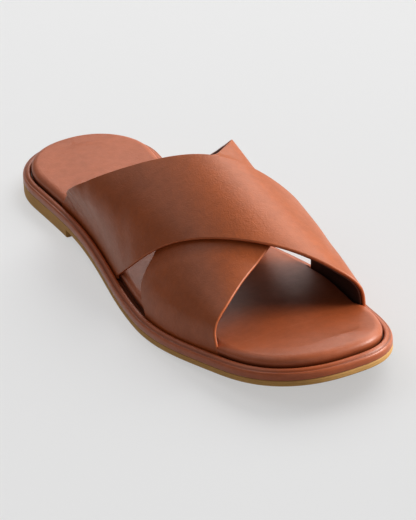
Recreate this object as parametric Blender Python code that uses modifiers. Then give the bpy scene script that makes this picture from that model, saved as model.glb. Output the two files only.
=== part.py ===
"""Cross strap sandal for the right foot.

A gum outsole with a low heel carries a leather-covered midsole, whose rounded rand shows all round. A padded
footbed lies in the midsole's tray, and two wide lined straps are tucked down between footbed and rand and are
joined where they cross over the instep.

Frame: metres, +Z up. The toe points along -Y and the medial side, with the arch, lies on +X. The origin is on
the floor under the middle of the heel.
"""

import math
from collections import namedtuple

import bmesh
import bpy
import numpy as np
from mathutils import Vector
from mathutils.bvhtree import BVHTree

MM = 0.001

# Lengths and widths of the whole sole
SHOE_LENGTH = 256 * MM
HEEL_SEAT = 34 * MM
HEEL_WIDTH = 67.5 * MM
WAIST_WIDTH = 63 * MM
BALL_WIDTH = 90 * MM
TOE_WIDTH = 78.3 * MM
TOE_SHIFT = 10.4 * MM

# Outsole
GUM_THICKNESS = 2.9 * MM
HEEL_HEIGHT = 6.6 * MM
TOE_SPRING = 11.3 * MM
GUM_EDGE = 0.8 * MM

# Midsole and its rand
RAND_WIDTH = 4.2 * MM
RAND_HEIGHT = 4.1 * MM
TRAY_DEPTH = 2.0 * MM

# Footbed
FOOTBED_WALL = 1.2 * MM
FOOTBED_ROUND = 3.8 * MM
FOOTBED_ROLL = 2.8 * MM
FOOTBED_CROWN = 0.9 * MM
FOOTBED_UNDER_EDGE = 0.5 * MM
FOOTBED_HEIGHT = FOOTBED_WALL + FOOTBED_ROLL

# Straps
STRAP_THICKNESS = 2.4 * MM
STRAP_EDGE_ROUND = 0.7 * MM
STRAP_CROWN = 1.5 * MM
INSTEP_RISE = 52 * MM
JOIN_DEPTH = 0.4 * MM
TUCK_EASE = 3.5 * MM
TUCK_ROOM = 0.6 * MM
GAP_TUCK = 1.4 * MM

CLEARANCE = 0.3 * MM

# Places along the sole, as shares of its length from the heel
HEEL_BREAST = 0.27
BALL_FLAT_START = 0.57
BALL_FLAT_END = 0.62
HEEL_ROUND_END = 0.14
TOE_ROUND_START = 0.833
TOE_SHIFT_START = 0.60
HEEL_SQUARENESS = 2.2
TOE_SQUARENESS = 2.5
SPRING_POWER = 1.5
BREAST_SLOPE = 0.0008

STATIONS = 44
STRAP_STEPS = 38
STRAP_COLUMNS = 6
OVERHANG_COLUMNS = 2

LATERAL = -1
MEDIAL = 1

# The sole's outline: place along it, full width there, and the share of that width on the lateral side
Outline = namedtuple("Outline", "along width lateral")
OUTLINE = [
    Outline(0.00, 0.975 * HEEL_WIDTH, 0.50),
    Outline(0.12, 1.000 * HEEL_WIDTH, 0.49),
    Outline(0.27, 1.000 * WAIST_WIDTH, 0.52),
    Outline(0.42, 1.075 * WAIST_WIDTH, 0.535),
    Outline(0.56, 0.917 * BALL_WIDTH, 0.51),
    Outline(0.70, 1.000 * BALL_WIDTH, 0.485),
    Outline(0.84, 1.000 * TOE_WIDTH, 0.498),
    Outline(1.00, 0.900 * TOE_WIDTH, 0.54),
]

# The rand's section, from its foot over the shoulder to the lip beside the footbed, in shares of its size
RandStep = namedtuple("RandStep", "inset height")
RAND_SECTION = [
    RandStep(0.10, 0.00),
    RandStep(0.00, 0.12),
    RandStep(0.00, 0.50),
    RandStep(0.06, 0.72),
    RandStep(0.20, 0.88),
    RandStep(0.42, 0.96),
    RandStep(0.68, 0.93),
    RandStep(0.84, 1.00),
]

# A strap's sections from its lateral seat to its medial seat. reach is the share of the way; across is the place
# from the sole's middle line as a share of the ball width; back is the place along the sole; rise is the height
# over the seats as a share of the instep's rise. The first and last rows are the seats beside the footbed.
StrapSection = namedtuple(
    "StrapSection", "reach rear_across rear_back rear_rise front_across front_back front_rise"
)
OVER_STRAP = [
    StrapSection(0.00, -0.316, 0.225, 0.00, -0.389, 0.487, 0.00),
    StrapSection(0.08, -0.350, 0.272, 0.225, -0.408, 0.540, 0.205),
    StrapSection(0.20, -0.400, 0.335, 0.48, -0.335, 0.595, 0.455),
    StrapSection(0.34, -0.255, 0.422, 0.79, -0.203, 0.659, 0.64),
    StrapSection(0.48, 0.020, 0.504, 0.99, -0.017, 0.727, 0.675),
    StrapSection(0.62, 0.245, 0.557, 0.91, 0.175, 0.786, 0.583),
    StrapSection(0.76, 0.430, 0.588, 0.64, 0.322, 0.827, 0.422),
    StrapSection(0.90, 0.500, 0.625, 0.33, 0.418, 0.848, 0.215),
    StrapSection(1.00, 0.462, 0.648, 0.00, 0.4285, 0.850, 0.00),
]
UNDER_STRAP = [
    StrapSection(0.00, -0.439, 0.625, 0.00, -0.3515, 0.832, 0.00),
    StrapSection(0.08, -0.420, 0.600, 0.17, -0.350, 0.820, 0.18),
    StrapSection(0.20, -0.330, 0.590, 0.46, -0.265, 0.806, 0.36),
    StrapSection(0.34, -0.170, 0.575, 0.72, -0.105, 0.776, 0.49),
    StrapSection(0.48, 0.018, 0.534, 0.87, 0.075, 0.744, 0.58),
    StrapSection(0.62, 0.235, 0.484, 0.88, 0.235, 0.700, 0.63),
    StrapSection(0.76, 0.372, 0.433, 0.78, 0.328, 0.645, 0.56),
    StrapSection(0.90, 0.380, 0.340, 0.39, 0.363, 0.575, 0.25),
    StrapSection(1.00, 0.300, 0.236, 0.00, 0.346, 0.487, 0.00),
]
SEAT_BLEND = 0.25
SEAT_FREE = 0.2
JOIN_REACH = 15 * MM
JOIN_NEAR = 6 * MM
JOIN_FAR = 10 * MM

COLOURS = {
    "outsole": (0.50, 0.34, 0.17, 1.0),
    "midsole": (0.36, 0.14, 0.075, 1.0),
    "footbed": (0.40, 0.17, 0.10, 1.0),
    "upper": (0.42, 0.16, 0.085, 1.0),
}
ROUGHNESS = {"outsole": 0.6, "midsole": 0.35, "footbed": 0.42, "upper": 0.45}


# Curves through rows

def curve_through(places, values):
    """A natural cubic curve through the rows, as a function of the place."""
    x = np.array(places)
    y = np.array(values)
    step = np.diff(x)
    slope = np.diff(y) / step
    count = len(x)
    bend = np.zeros(count)
    system = np.zeros((count - 2, count - 2))
    for i in range(count - 2):
        system[i, i] = 2.0 * (step[i] + step[i + 1])
        if i > 0:
            system[i, i - 1] = step[i]
        if i < count - 3:
            system[i, i + 1] = step[i + 1]
    bend[1:-1] = np.linalg.solve(system, 6.0 * np.diff(slope))

    def value(place):
        i = int(np.clip(np.searchsorted(x, place) - 1, 0, count - 2))
        a = (x[i + 1] - place) / step[i]
        b = (place - x[i]) / step[i]
        straight = a * y[i] + b * y[i + 1]
        bent = ((a ** 3 - a) * bend[i] + (b ** 3 - b) * bend[i + 1]) * step[i] ** 2 / 6.0
        return float(straight + bent)

    return value


def smooth_step(value):
    """0 below 0, 1 above 1, with a soft passage between."""
    t = min(max(value, 0.0), 1.0)
    return t * t * (3.0 - 2.0 * t)


# The sole's outline and levels

width_at = curve_through([row.along for row in OUTLINE], [row.width for row in OUTLINE])
lateral_at = curve_through([row.along for row in OUTLINE], [row.lateral for row in OUTLINE])


def end_round(along):
    """How much of the width is left near the round heel and toe."""
    if along < HEEL_ROUND_END:
        depth = (HEEL_ROUND_END - along) / HEEL_ROUND_END
        return max(0.0, 1.0 - depth ** HEEL_SQUARENESS) ** (1.0 / HEEL_SQUARENESS)
    if along > TOE_ROUND_START:
        depth = (along - TOE_ROUND_START) / (1.0 - TOE_ROUND_START)
        return max(0.0, 1.0 - depth ** TOE_SQUARENESS) ** (1.0 / TOE_SQUARENESS)
    return 1.0


def outline_point(along, side):
    """A point of the sole's outline, seen from above."""
    share = lateral_at(along) if side == LATERAL else 1.0 - lateral_at(along)
    shift = TOE_SHIFT * (max(0.0, along - TOE_SHIFT_START) / (1.0 - TOE_SHIFT_START)) ** 2
    x = shift + side * width_at(along) * share * end_round(along)
    return Vector((x, HEEL_SEAT - along * SHOE_LENGTH, 0.0))


def gum_top(along):
    """Height of the outsole's upper side: level over the heel, falling to the ball, rising to the toe."""
    if along <= HEEL_BREAST:
        return HEEL_HEIGHT
    if along <= BALL_FLAT_START:
        fall = smooth_step((along - HEEL_BREAST) / (BALL_FLAT_START - HEEL_BREAST))
        return HEEL_HEIGHT + (GUM_THICKNESS - HEEL_HEIGHT) * fall
    if along <= BALL_FLAT_END:
        return GUM_THICKNESS
    rise = (along - BALL_FLAT_END) / (1.0 - BALL_FLAT_END)
    return GUM_THICKNESS + TOE_SPRING * rise ** SPRING_POWER


def underside(along):
    """Height of the outsole's lower side: the heel block stands on the floor up to its breast."""
    if along < HEEL_BREAST:
        return 0.0
    return gum_top(along) - GUM_THICKNESS


def rand_foot(along):
    """Where the midsole starts over the outsole."""
    return gum_top(along) + CLEARANCE


def crease(along):
    """Level of the crease between rand and footbed, where the straps go down."""
    return rand_foot(along) + RAND_HEIGHT


def tray_floor(along):
    return crease(along) - TRAY_DEPTH


def strap_window(strap, side):
    """Where a strap passes the footbed on one side of the sole, and how far it leans in over it there."""
    seat = strap[0] if side == LATERAL else strap[-1]
    above = strap[1] if side == LATERAL else strap[-2]
    rear_share = FOOTBED_HEIGHT / (above.rear_rise * INSTEP_RISE)
    front_share = FOOTBED_HEIGHT / (above.front_rise * INSTEP_RISE)
    start = min(seat.rear_back, seat.rear_back + (above.rear_back - seat.rear_back) * rear_share)
    end = max(seat.front_back, seat.front_back + (above.front_back - seat.front_back) * front_share)
    rear_lean = (seat.rear_across - above.rear_across) * rear_share * side * BALL_WIDTH
    front_lean = (seat.front_across - above.front_across) * front_share * side * BALL_WIDTH
    return start, end, max(rear_lean, front_lean, 0.0)


def strap_relief(along, side):
    """How far the footbed's side is pulled in to let the straps down beside it."""
    ease = TUCK_EASE / SHOE_LENGTH
    windows = [strap_window(strap, side) for strap in (OVER_STRAP, UNDER_STRAP)]
    first = min(start for start, _, _ in windows)
    last = max(end for _, end, _ in windows)
    most = GAP_TUCK * smooth_step(min((along - first) / ease, (last - along) / ease))
    for start, end, lean in windows:
        window = min((along - start) / ease + 1.5, (end - along) / ease + 1.5)
        most = max(most, smooth_step(window) * (STRAP_THICKNESS + TUCK_ROOM + lean))
    return most


def station_shares():
    """Places of the cross sections: closer together at the round ends, and at every change along the sides."""
    shares = {round(0.5 - 0.5 * math.cos(math.pi * i / STATIONS), 5) for i in range(STATIONS + 1)}
    shares |= {HEEL_BREAST - BREAST_SLOPE, HEEL_BREAST + BREAST_SLOPE, BALL_FLAT_START, BALL_FLAT_END}
    ease = TUCK_EASE / SHOE_LENGTH
    key = set()
    for side in (LATERAL, MEDIAL):
        for strap in (OVER_STRAP, UNDER_STRAP):
            start, end, _ = strap_window(strap, side)
            key |= {start - 1.5 * ease, start - 0.5 * ease, end + 0.5 * ease, end + 1.5 * ease}
    kept = [share for share in sorted(shares) if all(abs(share - k) > 0.4 * ease for k in key)]
    return sorted(set(kept) | key)


SHARES = station_shares()
LOOP = [(share, LATERAL) for share in SHARES] + [(share, MEDIAL) for share in reversed(SHARES[1:-1])]
LOOP_POINTS = [outline_point(share, side) for share, side in LOOP]


def inward(index):
    """Direction from the outline towards the middle of the sole, at one point of the loop."""
    before = LOOP_POINTS[index - 1]
    after = LOOP_POINTS[(index + 1) % len(LOOP_POINTS)]
    along = (after - before).normalized()
    return Vector((-along.y, along.x, 0.0))


LOOP_INWARD = [inward(index) for index in range(len(LOOP))]


def rim(inset, level):
    """A closed line of points that follows the outline, inset and height given as functions or numbers."""
    points = []
    for (along, side), point, direction in zip(LOOP, LOOP_POINTS, LOOP_INWARD):
        distance = inset(along, side) if callable(inset) else inset
        place = point + direction * distance
        points.append(Vector((place.x, place.y, level(along))))
    return points


def seat_point(along, side, drop=0.0):
    """A point of the crease line, where a strap's outer face meets the rand."""
    step = 0.002
    tangent = (outline_point(along + step, side) - outline_point(along - step, side)).normalized()
    direction = Vector((-tangent.y, tangent.x, 0.0)) if side == LATERAL else Vector((tangent.y, -tangent.x, 0.0))
    place = outline_point(along, side) + direction * RAND_WIDTH
    return Vector((place.x, place.y, crease(along) - drop))


# Mesh helpers

def new_object(name, mesh, collection):
    thing = bpy.data.objects.new(name, mesh)
    collection.objects.link(thing)
    return thing


def paint(thing, name):
    material = bpy.data.materials.new(name)
    material.use_nodes = True
    shader = material.node_tree.nodes["Principled BSDF"]
    shader.inputs["Base Color"].default_value = COLOURS[name]
    shader.inputs["Roughness"].default_value = ROUGHNESS[name]
    shader.inputs["Metallic"].default_value = 0.0
    thing.data.materials.clear()
    thing.data.materials.append(material)
    thing.data.shade_smooth()
    thing.data.set_sharp_from_angle(angle=math.radians(38))


def stacked_rims(name, rims, collection, crown=0.0, columns=1):
    """A closed solid between rims that lie over each other, with a lid across each end. The upper lid is split
    into columns and rises to the crown in its middle."""
    mesh = bmesh.new()
    count = len(LOOP)
    stations = len(SHARES)
    levels = [[mesh.verts.new(point) for point in line] for line in rims]
    for lower, upper in zip(levels, levels[1:]):
        for i in range(count):
            j = (i + 1) % count
            mesh.faces.new((lower[i], lower[j], upper[j], upper[i]))

    def lid(line, parts, height):
        rows = []
        for i in range(stations):
            left = line[i]
            right = line[(count - i) % count]
            if left is right:
                rows.append([left])
                continue
            row = [left]
            for part in range(1, parts):
                share = part / parts
                place = left.co.lerp(right.co, share)
                width = (right.co - left.co).length
                bulge = height * 4.0 * share * (1.0 - share) * smooth_step(width / HEEL_WIDTH)
                row.append(mesh.verts.new(place + Vector((0.0, 0.0, bulge))))
            row.append(right)
            rows.append(row)
        for first, second in zip(rows, rows[1:]):
            if len(first) == 1:
                for a, b in zip(second, second[1:]):
                    mesh.faces.new((first[0], a, b))
            elif len(second) == 1:
                for a, b in zip(first, first[1:]):
                    mesh.faces.new((a, second[0], b))
            else:
                for k in range(len(first) - 1):
                    mesh.faces.new((first[k], second[k], second[k + 1], first[k + 1]))

    lid(levels[0], 1, 0.0)
    lid(levels[-1], columns, crown)
    bmesh.ops.recalc_face_normals(mesh, faces=mesh.faces)
    data = bpy.data.meshes.new(name)
    mesh.to_mesh(data)
    mesh.free()
    return new_object(name, data, collection)


# The sole's pieces

def make_outsole(collection):
    """One gum unit: a thin forepart and a heel block with an upright breast."""
    rims = [
        rim(GUM_EDGE, underside),
        rim(0.0, lambda along: underside(along) + GUM_EDGE),
        rim(0.0, gum_top),
    ]
    thing = stacked_rims("outsole", rims, collection)
    paint(thing, "outsole")


def make_midsole(collection):
    """The leather-covered board: a rounded rand all round, and a tray for the footbed inside it."""
    rims = []
    for row in RAND_SECTION:
        height = row.height * RAND_HEIGHT
        rims.append(rim(row.inset * RAND_WIDTH, lambda along, up=height: rand_foot(along) + up))
    wall = RAND_WIDTH - CLEARANCE
    rims.append(rim(wall, lambda along: crease(along) - CLEARANCE))
    rims.append(rim(wall, tray_floor))
    thing = stacked_rims("midsole", rims, collection)
    paint(thing, "midsole")


def make_footbed(collection):
    """The padded insole: it lies in the tray, with a soft rolled edge and a slightly crowned top."""

    def side_inset(extra):
        return lambda along, side: RAND_WIDTH + strap_relief(along, side) + extra

    bottom = CLEARANCE
    rims = [
        rim(side_inset(FOOTBED_UNDER_EDGE), lambda along: tray_floor(along) + bottom),
        rim(side_inset(0.0), lambda along: tray_floor(along) + bottom + FOOTBED_UNDER_EDGE),
        rim(side_inset(0.0), lambda along: crease(along) + FOOTBED_WALL),
    ]
    roll_steps = 4
    for step in range(1, roll_steps + 1):
        turn = 0.5 * math.pi * step / roll_steps
        extra = FOOTBED_ROUND * (1.0 - math.cos(turn))
        height = FOOTBED_WALL + FOOTBED_ROLL * math.sin(turn)
        rims.append(rim(side_inset(extra), lambda along, up=height: crease(along) + up))
    thing = stacked_rims("footbed", rims, collection, crown=FOOTBED_CROWN, columns=6)
    paint(thing, "footbed")


# The straps

def strap_edge(table, edge):
    """The line of a strap's rear or front edge, as a function of the reach from the lateral to the medial seat."""
    reach = [row.reach for row in table]
    back = curve_through(reach, [getattr(row, edge + "_back") for row in table])
    rise = curve_through(reach, [getattr(row, edge + "_rise") for row in table])
    across = curve_through(reach, [getattr(row, edge + "_across") for row in table])
    start = seat_point(getattr(table[0], edge + "_back"), LATERAL)
    end = seat_point(getattr(table[-1], edge + "_back"), MEDIAL)
    start_gap = start.x - getattr(table[0], edge + "_across") * BALL_WIDTH
    end_gap = end.x - getattr(table[-1], edge + "_across") * BALL_WIDTH

    def point(place):
        x = across(place) * BALL_WIDTH + start_gap * (1.0 - place) + end_gap * place
        y = HEEL_SEAT - back(place) * SHOE_LENGTH
        z = start.z + (end.z - start.z) * place + rise(place) * INSTEP_RISE
        return Vector((x, y, z))

    return point


def strap_sheet(table, overhang=0):
    """Rows of points over a strap's outer face. With an overhang the sheet also runs past its two edges."""
    rear = strap_edge(table, "rear")
    front = strap_edge(table, "front")
    rows = []
    for i in range(STRAP_STEPS + 1):
        reach = i / STRAP_STEPS
        row = []
        for j in range(-overhang, STRAP_COLUMNS + overhang + 1):
            share = j / STRAP_COLUMNS
            place = rear(reach).lerp(front(reach), share)
            crown = STRAP_CROWN * 4.0 * share * (1.0 - share) * math.sin(math.pi * reach)
            row.append(place + Vector((0.0, 0.0, crown)))
        rows.append(row)
    return rows


def settle_on_seats(table, rows, overhang=0):
    """Bend the first and last rows to the curved crease line, fading out over the way up."""
    for side, end_row, seat_index in ((LATERAL, table[0], 0), (MEDIAL, table[-1], len(rows) - 1)):
        moves = []
        for j, point in enumerate(rows[seat_index]):
            share = min(max((j - overhang) / STRAP_COLUMNS, 0.0), 1.0)
            back = end_row.rear_back + (end_row.front_back - end_row.rear_back) * share
            straight = rows[seat_index][overhang].lerp(rows[seat_index][overhang + STRAP_COLUMNS], share)
            moves.append(seat_point(back, side) - straight)
        for i, row in enumerate(rows):
            distance = abs(i - seat_index) / STRAP_STEPS
            weight = 1.0 - smooth_step(distance / SEAT_BLEND)
            for j in range(len(row)):
                row[j] = row[j] + moves[j] * weight


def press_against(rows, cover):
    """Press the under strap's sheet against the inside of the strap that crosses over it."""
    points = [point for row in cover for point in row]
    columns = len(cover[0])
    quads = []
    for i in range(len(cover) - 1):
        for j in range(columns - 1):
            a = i * columns + j
            quads.append((a, a + 1, a + columns + 1, a + columns))
    tree = BVHTree.FromPolygons(points, quads)
    rear_line = OVERHANG_COLUMNS
    front_line = OVERHANG_COLUMNS + STRAP_COLUMNS
    for i, row in enumerate(rows):
        seat_weight = smooth_step(min(i, len(rows) - 1 - i) / (SEAT_FREE * STRAP_STEPS))
        for j, point in enumerate(row):
            place, normal, index, _ = tree.find_nearest(point)
            if normal.z < 0.0:
                normal = -normal
            line = cover[index // (columns - 1)]
            past_rear = (place - line[rear_line]).dot((line[rear_line] - line[rear_line + 1]).normalized())
            past_front = (place - line[front_line]).dot((line[front_line] - line[front_line - 1]).normalized())
            past = max(past_rear, past_front, 0.0)
            apart = (point - place).length
            near = 1.0 - smooth_step((apart - JOIN_NEAR) / (JOIN_FAR - JOIN_NEAR))
            weight = seat_weight * near * (1.0 - smooth_step(past / JOIN_REACH))
            target = place - normal * (STRAP_THICKNESS - JOIN_DEPTH)
            row[j] = point.lerp(target, weight)


def add_tucks(table, rows):
    """Run both ends of a strap down beside the footbed, to just over the tray's floor."""
    drop = TRAY_DEPTH - 2.0 * CLEARANCE
    for side, end_row, before in ((LATERAL, table[0], True), (MEDIAL, table[-1], False)):
        tuck = []
        for j in range(STRAP_COLUMNS + 1):
            back = end_row.rear_back + (end_row.front_back - end_row.rear_back) * j / STRAP_COLUMNS
            tuck.append(seat_point(back, side, drop))
        if before:
            rows.insert(0, tuck)
        else:
            rows.append(tuck)


def strap_solid(name, rows, collection):
    """A strap as an open sheet with its real thickness and rounded edges."""
    mesh = bmesh.new()
    grid = [[mesh.verts.new(point) for point in row] for row in rows]
    for first, second in zip(grid, grid[1:]):
        for j in range(STRAP_COLUMNS):
            mesh.faces.new((first[j], first[j + 1], second[j + 1], second[j]))
    bmesh.ops.recalc_face_normals(mesh, faces=mesh.faces)
    middle = grid[len(grid) // 2][STRAP_COLUMNS // 2]
    middle.normal_update()
    if middle.normal.z < 0.0:
        bmesh.ops.reverse_faces(mesh, faces=mesh.faces)
    data = bpy.data.meshes.new(name)
    mesh.to_mesh(data)
    mesh.free()
    thing = new_object(name, data, collection)
    wall = thing.modifiers.new("wall", "SOLIDIFY")
    wall.thickness = STRAP_THICKNESS
    wall.offset = -1.0
    wall.use_even_offset = True
    edge = thing.modifiers.new("edge", "BEVEL")
    edge.width = STRAP_EDGE_ROUND
    edge.segments = 2
    edge.limit_method = "ANGLE"
    edge.angle_limit = math.radians(50)
    return thing


def make_upper(parts, helpers):
    """Both straps, joined where the over strap lies on the under strap."""
    under = strap_sheet(UNDER_STRAP)
    settle_on_seats(UNDER_STRAP, under)
    over = strap_sheet(OVER_STRAP)
    settle_on_seats(OVER_STRAP, over)
    cover = strap_sheet(OVER_STRAP, overhang=OVERHANG_COLUMNS)
    settle_on_seats(OVER_STRAP, cover, overhang=OVERHANG_COLUMNS)
    press_against(under, cover)
    add_tucks(UNDER_STRAP, under)
    add_tucks(OVER_STRAP, over)
    thing = strap_solid("upper", under, parts)
    other = strap_solid("over_strap_cutter", over, helpers)
    other.hide_render = True
    other.display_type = "WIRE"
    join = thing.modifiers.new("join", "BOOLEAN")
    join.operation = "UNION"
    join.solver = "EXACT"
    join.object = other
    paint(thing, "upper")


def main():
    for thing in list(bpy.data.objects):
        bpy.data.objects.remove(thing, do_unlink=True)
    scene = bpy.context.scene
    parts = bpy.data.collections.new("cross_strap_sandal")
    helpers = bpy.data.collections.new("cutters")
    scene.collection.children.link(parts)
    scene.collection.children.link(helpers)
    make_outsole(parts)
    make_midsole(parts)
    make_footbed(parts)
    make_upper(parts, helpers)


main()
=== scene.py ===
"""Cross strap sandal for the right foot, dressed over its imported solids.

Laid out as an add-on: one operator for each piece or group of like pieces, and one for the stage.
Frame: metres, +Z up. The toe points along -Y and the medial side, with the arch, lies on +X.
"""

import math
from collections import namedtuple

import bmesh
import bpy
import numpy as np
from bpy.props import FloatProperty, FloatVectorProperty, PointerProperty
from bpy.types import Operator, Panel, PropertyGroup
from mathutils import Matrix, Vector
from mathutils.bvhtree import BVHTree


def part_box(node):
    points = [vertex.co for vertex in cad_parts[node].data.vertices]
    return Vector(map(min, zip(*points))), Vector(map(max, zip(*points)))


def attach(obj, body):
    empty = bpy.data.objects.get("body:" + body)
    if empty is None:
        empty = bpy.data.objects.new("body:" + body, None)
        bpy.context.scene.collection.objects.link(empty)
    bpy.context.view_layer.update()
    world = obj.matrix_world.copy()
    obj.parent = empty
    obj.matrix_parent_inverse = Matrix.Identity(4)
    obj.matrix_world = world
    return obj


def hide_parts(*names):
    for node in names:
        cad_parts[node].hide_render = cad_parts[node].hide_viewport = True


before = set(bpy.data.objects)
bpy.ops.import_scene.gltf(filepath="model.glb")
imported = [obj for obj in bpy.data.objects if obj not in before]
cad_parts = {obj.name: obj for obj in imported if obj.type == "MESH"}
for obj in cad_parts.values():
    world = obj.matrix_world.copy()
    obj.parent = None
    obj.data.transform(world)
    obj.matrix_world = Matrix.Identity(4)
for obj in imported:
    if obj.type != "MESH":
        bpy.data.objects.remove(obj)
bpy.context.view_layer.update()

bl_info = {
    "name": "Cross strap sandal",
    "version": (1, 0, 0),
    "blender": (4, 5, 0),
    "location": "3D View > Sidebar > Sandal",
    "description": "Builds a cross strap leather sandal piece by piece",
    "category": "Add Mesh",
}

MM = 0.001
SOLE_LOW, SOLE_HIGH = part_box("outsole")

LATERAL = -1
MEDIAL = 1

# Room between neighbouring pieces
CLEARANCE = 0.3 * MM
RAND_GAP = 0.05 * MM
FOOTBED_GAP = 0.12 * MM
CROSSING_GAP = 0.05 * MM
LAYER_GAP = 0.02 * MM
FLOOR_GAP = 0.1 * MM

# Places along the sole, as shares of its length from the heel
HEEL_ROUND_END = 0.14
RAND_SEAM = 0.224
HEEL_BREAST = 0.27
BALL_FLAT_START = 0.57
TOE_SHIFT_START = 0.60
BALL_FLAT_END = 0.62
TOE_ROUND_START = 0.833

# How square the sole's ends are, how far the toe lies to the medial side, and how its spring grows
HEEL_SQUARENESS = 2.2
TOE_SQUARENESS = 2.5
TOE_SHIFT = 10.4 * MM
SPRING_POWER = 1.5

# The sole's cross sections: their number, the least step between two, and the extra ones round the heel
# breast, round the seam and round the ends of the straps' seats, the last in shares of the tuck's ease
SOLE_STATIONS = 150
LEAST_STEP = 0.0006
BREAST_STEP = 0.0008
BREAST_PLACES = (-4.0, -2.4, -1.4, -0.7, 0.7, 1.4, 3.0)
SEAM_STEP = 0.0007
SEAM_PLACES = (-4, -2, -1, 0, 1, 2, 4)
SEAT_PLACES = (0.0, 0.3, 0.55, 0.8, 1.0, 1.3, -0.3, -0.55, -0.8, -1.0, -1.3)
TANGENT_STEP = 0.002

# The sole's outline: place along it, full width there as a share of the named width, and the lateral part of
# that width
Outline = namedtuple("Outline", "along share of lateral")
OUTLINE = list(map(Outline._make, (
    (0.00, 0.975, "heel_width", 0.50),
    (0.12, 1.000, "heel_width", 0.49),
    (0.27, 1.000, "waist_width", 0.52),
    (0.42, 1.075, "waist_width", 0.535),
    (0.56, 0.917, "ball_width", 0.51),
    (0.70, 1.000, "ball_width", 0.485),
    (0.84, 1.000, "toe_width", 0.498),
    (1.00, 0.900, "toe_width", 0.54),
)))

# The gum's section, from its underside to the rand: inset and height in metres, the height from the underside
# or from the top. The next to last column is where it is rubbed light; the last is painted shade in the dark
# line under the rand.
GumStep = namedtuple("GumStep", "inset height from_top wear deep")
GUM_SECTION = list(map(GumStep._make, (
    (1.60 * MM, 0.00 * MM, False, 0.0, 0.0),
    (0.75 * MM, 0.08 * MM, False, 0.0, 0.0),
    (0.28 * MM, 0.32 * MM, False, 0.0, 0.0),
    (0.05 * MM, 0.75 * MM, False, 1.0, 0.0),
    (0.00 * MM, 1.15 * MM, False, 0.6, 0.0),
    (0.00 * MM, -0.90 * MM, True, 0.0, 0.0),
    (0.02 * MM, -0.40 * MM, True, 0.0, 0.0),
    (0.16 * MM, -0.10 * MM, True, 0.0, 0.0),
    (0.45 * MM, 0.00 * MM, True, 0.0, 0.5),
)))

# The rand's section from its foot over the shoulder bead and the groove to the lip beside the footbed, in
# shares of its size. The third column is rubbed light together with a painted highlight on the bead and the
# lip;
# the last is painted shade at the foot, in the groove and beside the crease.
RandStep = namedtuple("RandStep", "inset height wear deep")
RAND_SECTION = list(map(RandStep._make, (
    (0.12, 0.000, 0.0, 0.4),
    (0.05, 0.020, 0.0, 0.3),
    (0.01, 0.060, 0.0, 0.1),
    (0.00, 0.130, 0.0, 0.0),
    (0.00, 0.250, 0.0, 0.0),
    (0.00, 0.380, 0.1, 0.0),
    (0.01, 0.500, 0.3, 0.0),
    (0.03, 0.600, 0.6, 0.0),
    (0.07, 0.695, 0.7, 0.0),
    (0.12, 0.760, 0.5, 0.0),
    (0.18, 0.800, 0.2, 0.1),
    (0.24, 0.795, 0.0, 0.4),
    (0.29, 0.800, 0.0, 0.6),
    (0.34, 0.850, 0.0, 0.3),
    (0.41, 0.915, 0.1, 0.0),
    (0.50, 0.970, 0.4, 0.0),
    (0.60, 1.000, 0.6, 0.0),
    (0.70, 1.000, 0.5, 0.0),
    (0.79, 0.970, 0.2, 0.0),
    (0.86, 0.910, 0.0, 0.2),
    (0.91, 0.830, 0.0, 0.7),
)))
LIP_DEPTH = 0.9 * MM
TRAY_DEPTH = 2.0 * MM
SEAM_DEPTH = 0.35 * MM
SEAM_WIDTH = 0.0011

# The footbed: the cut of its lower corner, its rolled edge, and the flat rim and fullness of its crowned top
FOOTBED_CUT = 0.5 * MM
ROLL_STEPS = 12
# How much the rolled edge is lightened towards its middle: rubbed light together with a painted highlight
ROLL_RUB_AND_HIGHLIGHT = 0.6
FOOTBED_FLAT = 6.0 * MM
FOOTBED_COLUMNS = 26
CROWN_FULLNESS = 1.6

# How the footbed's side gives way to the straps: over what length, with how much room, how much between the
# two straps, and how far inside a strap's edges it starts, in shares of that length
TUCK_EASE = 1.8 * MM
TUCK_ROOM = 0.6 * MM
GAP_TUCK = 1.4 * MM
REAR_DELAY = 0.3
FRONT_DELAY = 1.1

# The same for the footbed's rolled edge, which gives way more gently
BERTH_EASE = 14.0 * MM
BERTH_ROOM = 1.2 * MM

# A strap's sections from its lateral seat to its medial seat. reach is the share of the way; across is the
# place from the sole's middle line as a share of the ball width; back is the place along the sole; rise is
# the height over the seats as a share of the instep's rise.
StrapSection = namedtuple(
    "StrapSection", "reach rear_across rear_back rear_rise front_across front_back front_rise"
)
OVER_STRAP = list(map(StrapSection._make, (
    (0.00, -0.316, 0.225, 0.00, -0.389, 0.487, 0.00),
    (0.08, -0.350, 0.272, 0.225, -0.408, 0.540, 0.205),
    (0.20, -0.400, 0.335, 0.48, -0.335, 0.595, 0.455),
    (0.34, -0.255, 0.422, 0.79, -0.203, 0.659, 0.64),
    (0.48, 0.020, 0.504, 0.99, -0.017, 0.727, 0.675),
    (0.62, 0.245, 0.557, 0.91, 0.175, 0.786, 0.583),
    (0.76, 0.430, 0.588, 0.64, 0.322, 0.827, 0.422),
    (0.90, 0.500, 0.625, 0.33, 0.418, 0.848, 0.215),
    (1.00, 0.462, 0.648, 0.00, 0.4285, 0.850, 0.00),
)))
UNDER_STRAP = list(map(StrapSection._make, (
    (0.00, -0.439, 0.625, 0.00, -0.3515, 0.832, 0.00),
    (0.08, -0.420, 0.600, 0.17, -0.350, 0.820, 0.18),
    (0.20, -0.330, 0.590, 0.46, -0.265, 0.806, 0.36),
    (0.34, -0.170, 0.575, 0.72, -0.105, 0.776, 0.49),
    (0.48, 0.018, 0.534, 0.87, 0.075, 0.744, 0.58),
    (0.62, 0.235, 0.484, 0.88, 0.235, 0.700, 0.63),
    (0.76, 0.372, 0.433, 0.78, 0.328, 0.645, 0.56),
    (0.90, 0.380, 0.340, 0.39, 0.363, 0.575, 0.25),
    (1.00, 0.300, 0.236, 0.00, 0.346, 0.487, 0.00),
)))

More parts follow.
